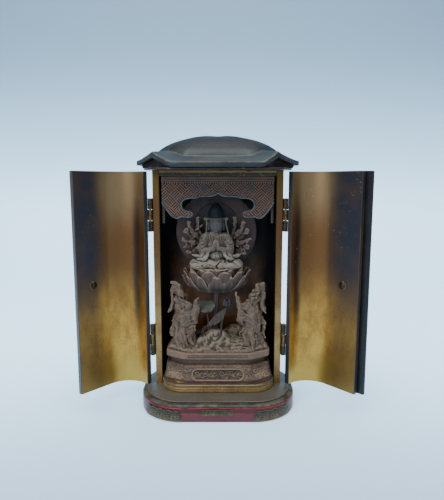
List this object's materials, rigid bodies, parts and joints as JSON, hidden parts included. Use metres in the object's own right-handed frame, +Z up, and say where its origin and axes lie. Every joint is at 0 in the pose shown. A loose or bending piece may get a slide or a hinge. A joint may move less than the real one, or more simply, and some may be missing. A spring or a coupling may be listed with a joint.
{
  "type": "household altar cabinet",
  "caption": "Small lacquered altar cabinet with curved hinged doors, domed roof and stepped plinth, holding a carved many-armed figure on a lotus and two attendants.",
  "frame": {"origin": "middle of the plinth's underside", "axes": "+X to the right seen from the front, +Y to the back, +Z up"},
  "size_m": [0.1873, 0.0704, 0.1802],
  "materials": {
    "black_lacquer": "worn black lacquer, semi-gloss",
    "red_lacquer": "dark red lacquer, satin, dusty mouldings",
    "aged_gold": "worn gold leaf on lacquered wood, satin",
    "dark_bronze": "dark patinated brass",
    "carved_wood": "carved wood, brown, dusty, matte",
    "dusty_wood": "carved wood, grey with dust, matte",
    "leaf_green": "carved wood with faded grey-green colour, matte"
  },
  "bodies": {
    "cabinet": {"plinth": "red_lacquer", "base_step": "black_lacquer", "dais": "aged_gold", "cabinet_shell": "black_lacquer", "top_rail": "black_lacquer", "roof_board": "black_lacquer", "roof": "black_lacquer", "canopy_front": "carved_wood", "canopy_left_side": "carved_wood", "canopy_right_side": "carved_wood", "stand_foot_board": "carved_wood", "stand_carved_band": "carved_wood", "stand_waist": "carved_wood", "stand_top_slab": "carved_wood", "wave_mound": "dusty_wood", "lotus_stem": "carved_wood", "lotus_leaf": "leaf_green", "folded_leaf": "dusty_wood", "lotus_bud": "carved_wood", "left_attendant": "carved_wood", "right_attendant": "carved_wood", "lotus_seat": "carved_wood", "seated_figure": "dusty_wood", "left_side_arms": "dusty_wood", "right_side_arms": "dusty_wood", "crown": "dark_bronze", "halo": "carved_wood", "plinth_mount_front_left": "dark_bronze", "plinth_mount_front_right": "dark_bronze", "plinth_mount_back_left": "dark_bronze", "plinth_mount_back_right": "dark_bronze", "plinth_mount_centre": "dark_bronze", "left_upper_hinge_cabinet_leaf": "dark_bronze", "left_upper_hinge_pin": "dark_bronze", "left_lower_hinge_cabinet_leaf": "dark_bronze", "left_lower_hinge_pin": "dark_bronze", "right_upper_hinge_cabinet_leaf": "dark_bronze", "right_upper_hinge_pin": "dark_bronze", "right_lower_hinge_cabinet_leaf": "dark_bronze", "right_lower_hinge_pin": "dark_bronze"},
    "left_door": {"left_door": "aged_gold", "left_door_stud": "dark_bronze", "left_door_mount_top": "dark_bronze", "left_door_mount_middle": "dark_bronze", "left_door_mount_bottom": "dark_bronze", "left_upper_hinge_door_leaf": "aged_gold", "left_lower_hinge_door_leaf": "aged_gold"},
    "right_door": {"right_door": "aged_gold", "right_door_stud": "dark_bronze", "right_door_mount_top": "dark_bronze", "right_door_mount_middle": "dark_bronze", "right_door_mount_bottom": "dark_bronze", "meeting_strip": "black_lacquer", "right_upper_hinge_door_leaf": "aged_gold", "right_lower_hinge_door_leaf": "aged_gold"}
  },
  "joints": [
    {"name": "left_door_hinge", "type": "hinge", "parent": "cabinet", "child": "left_door", "pos_m": [-0.04465, -0.0032, 0.0855], "axis": [0, 0, 1], "range_deg": [-30, 132]},
    {"name": "right_door_hinge", "type": "hinge", "parent": "cabinet", "child": "right_door", "pos_m": [0.04465, -0.0032, 0.0855], "axis": [0, 0, 1], "range_deg": [-132, 30]}
  ]
}
